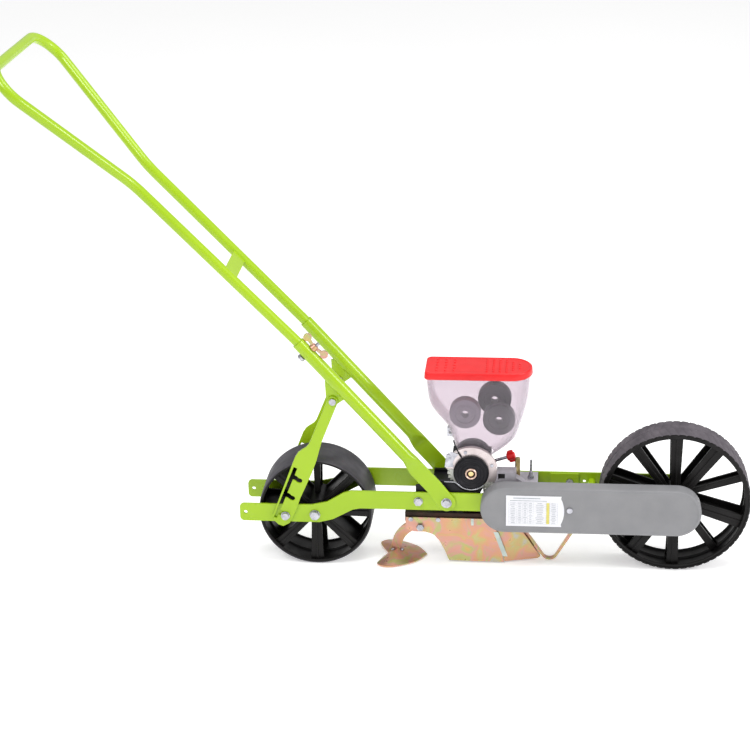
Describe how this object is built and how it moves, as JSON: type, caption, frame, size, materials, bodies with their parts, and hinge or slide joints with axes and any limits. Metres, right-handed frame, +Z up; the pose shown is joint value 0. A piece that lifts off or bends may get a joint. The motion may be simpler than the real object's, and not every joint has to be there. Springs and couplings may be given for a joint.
{
  "type": "push seeder",
  "caption": "Hand-pushed single-row seeder: bar frame on two wheels, chain-driven metering roller under a clear hopper, soil opener, coverer blade and a long tilting grip",
  "frame": {"origin": "on the ground under the middle of the overall length and width, with the handle in its raised position", "axes": "+X forwards, from the grip to the drive wheel; +Y to the machine's left; +Z up"},
  "size_m": [1.338, 0.3416, 0.9875],
  "materials": {
    "lime_paint": "gloss yellow-green paint",
    "bolt_steel": "bright zinc-plated steel",
    "zinc_plate": "yellow zinc-chromate plated steel with a faint iridescence",
    "dark_steel": "dark brown plated steel",
    "chain_steel": "oiled chain steel",
    "brass": "turned brass",
    "grey_plastic": "mid-grey moulded plastic",
    "cast_grey": "grey casting",
    "black_plastic": "black moulded plastic",
    "black_wheel": "black moulded wheel",
    "tyre": "dark grey rubber",
    "red_plastic": "red plastic",
    "clear_plastic": "clear plastic with a grey-lilac tint",
    "roller_light": "light grey plastic",
    "roller_dark": "dark grey plastic",
    "white_gear": "white nylon",
    "bristle": "black bristle",
    "label": "printed white card, drawn without lettering"
  },
  "bodies": {
    "frame": {"side_plate_right": "lime_paint", "side_plate_left": "lime_paint", "splice_plates": "lime_paint", "frame_ties": "lime_paint", "frame_bolts": "bolt_steel", "strut_studs": "bolt_steel", "handle_pivot_bolts": "bolt_steel", "rear_axle": "bolt_steel", "plate_bushes": "brass", "chain_cover_back": "grey_plastic", "chain_cover": "grey_plastic", "cover_screw": "bolt_steel", "rate_label": "label", "gear_case": "cast_grey", "housing_base": "black_plastic", "roller_housing": "black_plastic", "housing_ring": "zinc_plate", "housing_screws": "bolt_steel", "brush": "bristle", "hopper": "clear_plastic", "hopper_clip": "bolt_steel", "spare_roller_light": "roller_light", "spare_rollers_dark": "roller_dark", "seed_chute": "black_plastic", "chain": "chain_steel"},
    "front_wheel": {"front_tyre": "tyre", "front_wheel": "black_wheel", "front_axle": "bolt_steel", "drive_sprocket": "chain_steel"},
    "rear_wheel": {"rear_wheel": "black_wheel", "rear_bush": "bolt_steel"},
    "cross_shaft": {"cross_shaft": "bolt_steel", "driven_sprocket": "chain_steel", "drive_gear": "white_gear"},
    "roller": {"roller_shaft": "bolt_steel", "seed_roller": "roller_light", "roller_gear": "white_gear", "roller_disc": "black_plastic", "brass_bush": "brass"},
    "opener": {"opener_bracket": "dark_steel", "depth_rod": "zinc_plate", "opener_plate_right": "zinc_plate", "opener_plate_left": "zinc_plate", "opener_shoe": "zinc_plate", "skid_strap": "zinc_plate", "opener_bolts": "bolt_steel"},
    "coverer": {"coverer_arm": "zinc_plate", "coverer_blade": "zinc_plate"},
    "handle_lower": {"handle_tube_right": "lime_paint", "handle_tube_left": "lime_paint", "strut_top_bolts": "bolt_steel", "clamp_stud": "bolt_steel"},
    "struts": {"strut_right": "lime_paint", "strut_left": "lime_paint"},
    "handle_upper": {"upper_handle": "lime_paint", "cross_brace": "lime_paint"},
    "clamp_wing": {"clamp_wing_nut": "zinc_plate"},
    "lid": {"lid": "red_plastic"},
    "brush_knob": {"brush_knob": "red_plastic"},
    "wing_screw": {"wing_screw": "bolt_steel"}
  },
  "joints": [
    {"name": "front_wheel_spin", "type": "hinge", "parent": "frame", "child": "front_wheel", "pos_m": [0.529, 0, 0.14], "axis": [0, 1, 0], "continuous": true, "deforming": ["chain"]},
    {"name": "rear_wheel_spin", "type": "hinge", "parent": "frame", "child": "rear_wheel", "pos_m": [-0.144, 0, 0.108], "axis": [0, 1, 0], "continuous": true},
    {"name": "cross_shaft_spin", "type": "hinge", "parent": "frame", "child": "cross_shaft", "pos_m": [0.21491, 0, 0.1415], "axis": [0, 1, 0], "continuous": true},
    {"name": "roller_spin", "type": "hinge", "parent": "frame", "child": "roller", "pos_m": [0.15028, 0, 0.1967], "axis": [0, 1, 0], "continuous": true},
    {"name": "opener_depth", "type": "slide", "parent": "frame", "child": "opener", "axis": [0, 0, 1], "range_m": [-0.03, 0.02]},
    {"name": "coverer_swing", "type": "hinge", "parent": "opener", "child": "coverer", "pos_m": [0.053, 0, 0.073], "axis": [0, 1, 0], "range_deg": [0, 16]},
    {"name": "handle_tilt", "type": "hinge", "parent": "frame", "child": "handle_lower", "pos_m": [0.105, 0, 0.1415], "axis": [0, -1, 0], "range_deg": [0, 16.24]},
    {"name": "strut_swing", "type": "hinge", "parent": "handle_lower", "child": "struts", "pos_m": [-0.1035, 0, 0.343], "axis": [0, -1, 0], "range_deg": [-10.5, 0]},
    {"name": "handle_telescope", "type": "slide", "parent": "handle_lower", "child": "handle_upper", "axis": [-0.66, 0, 0.7513], "range_m": [0, 0.08]},
    {"name": "clamp_wing_turn", "type": "hinge", "parent": "handle_lower", "child": "clamp_wing", "pos_m": [-0.14678, -0.056, 0.4381], "axis": [0.7513, 0, 0.66], "continuous": true},
    {"name": "lid_lift", "type": "slide", "parent": "frame", "child": "lid", "axis": [0, 0, 1], "range_m": [0, 0.05]},
    {"name": "brush_knob_turn", "type": "hinge", "parent": "frame", "child": "brush_knob", "pos_m": [0.18028, 0.01, 0.1955], "axis": [0.9511, 0, 0.309], "continuous": true},
    {"name": "wing_screw_turn", "type": "hinge", "parent": "frame", "child": "wing_screw", "pos_m": [0.261, -0.01, 0.178], "axis": [0, 0, 1], "continuous": true}
  ],
  "couplings": [
    {"joint": "cross_shaft_spin", "follows": "front_wheel_spin", "ratio": 1.5},
    {"joint": "roller_spin", "follows": "front_wheel_spin", "ratio": -1.5},
    {"joint": "strut_swing", "follows": "handle_tilt", "ratio": -0.6096}
  ]
}
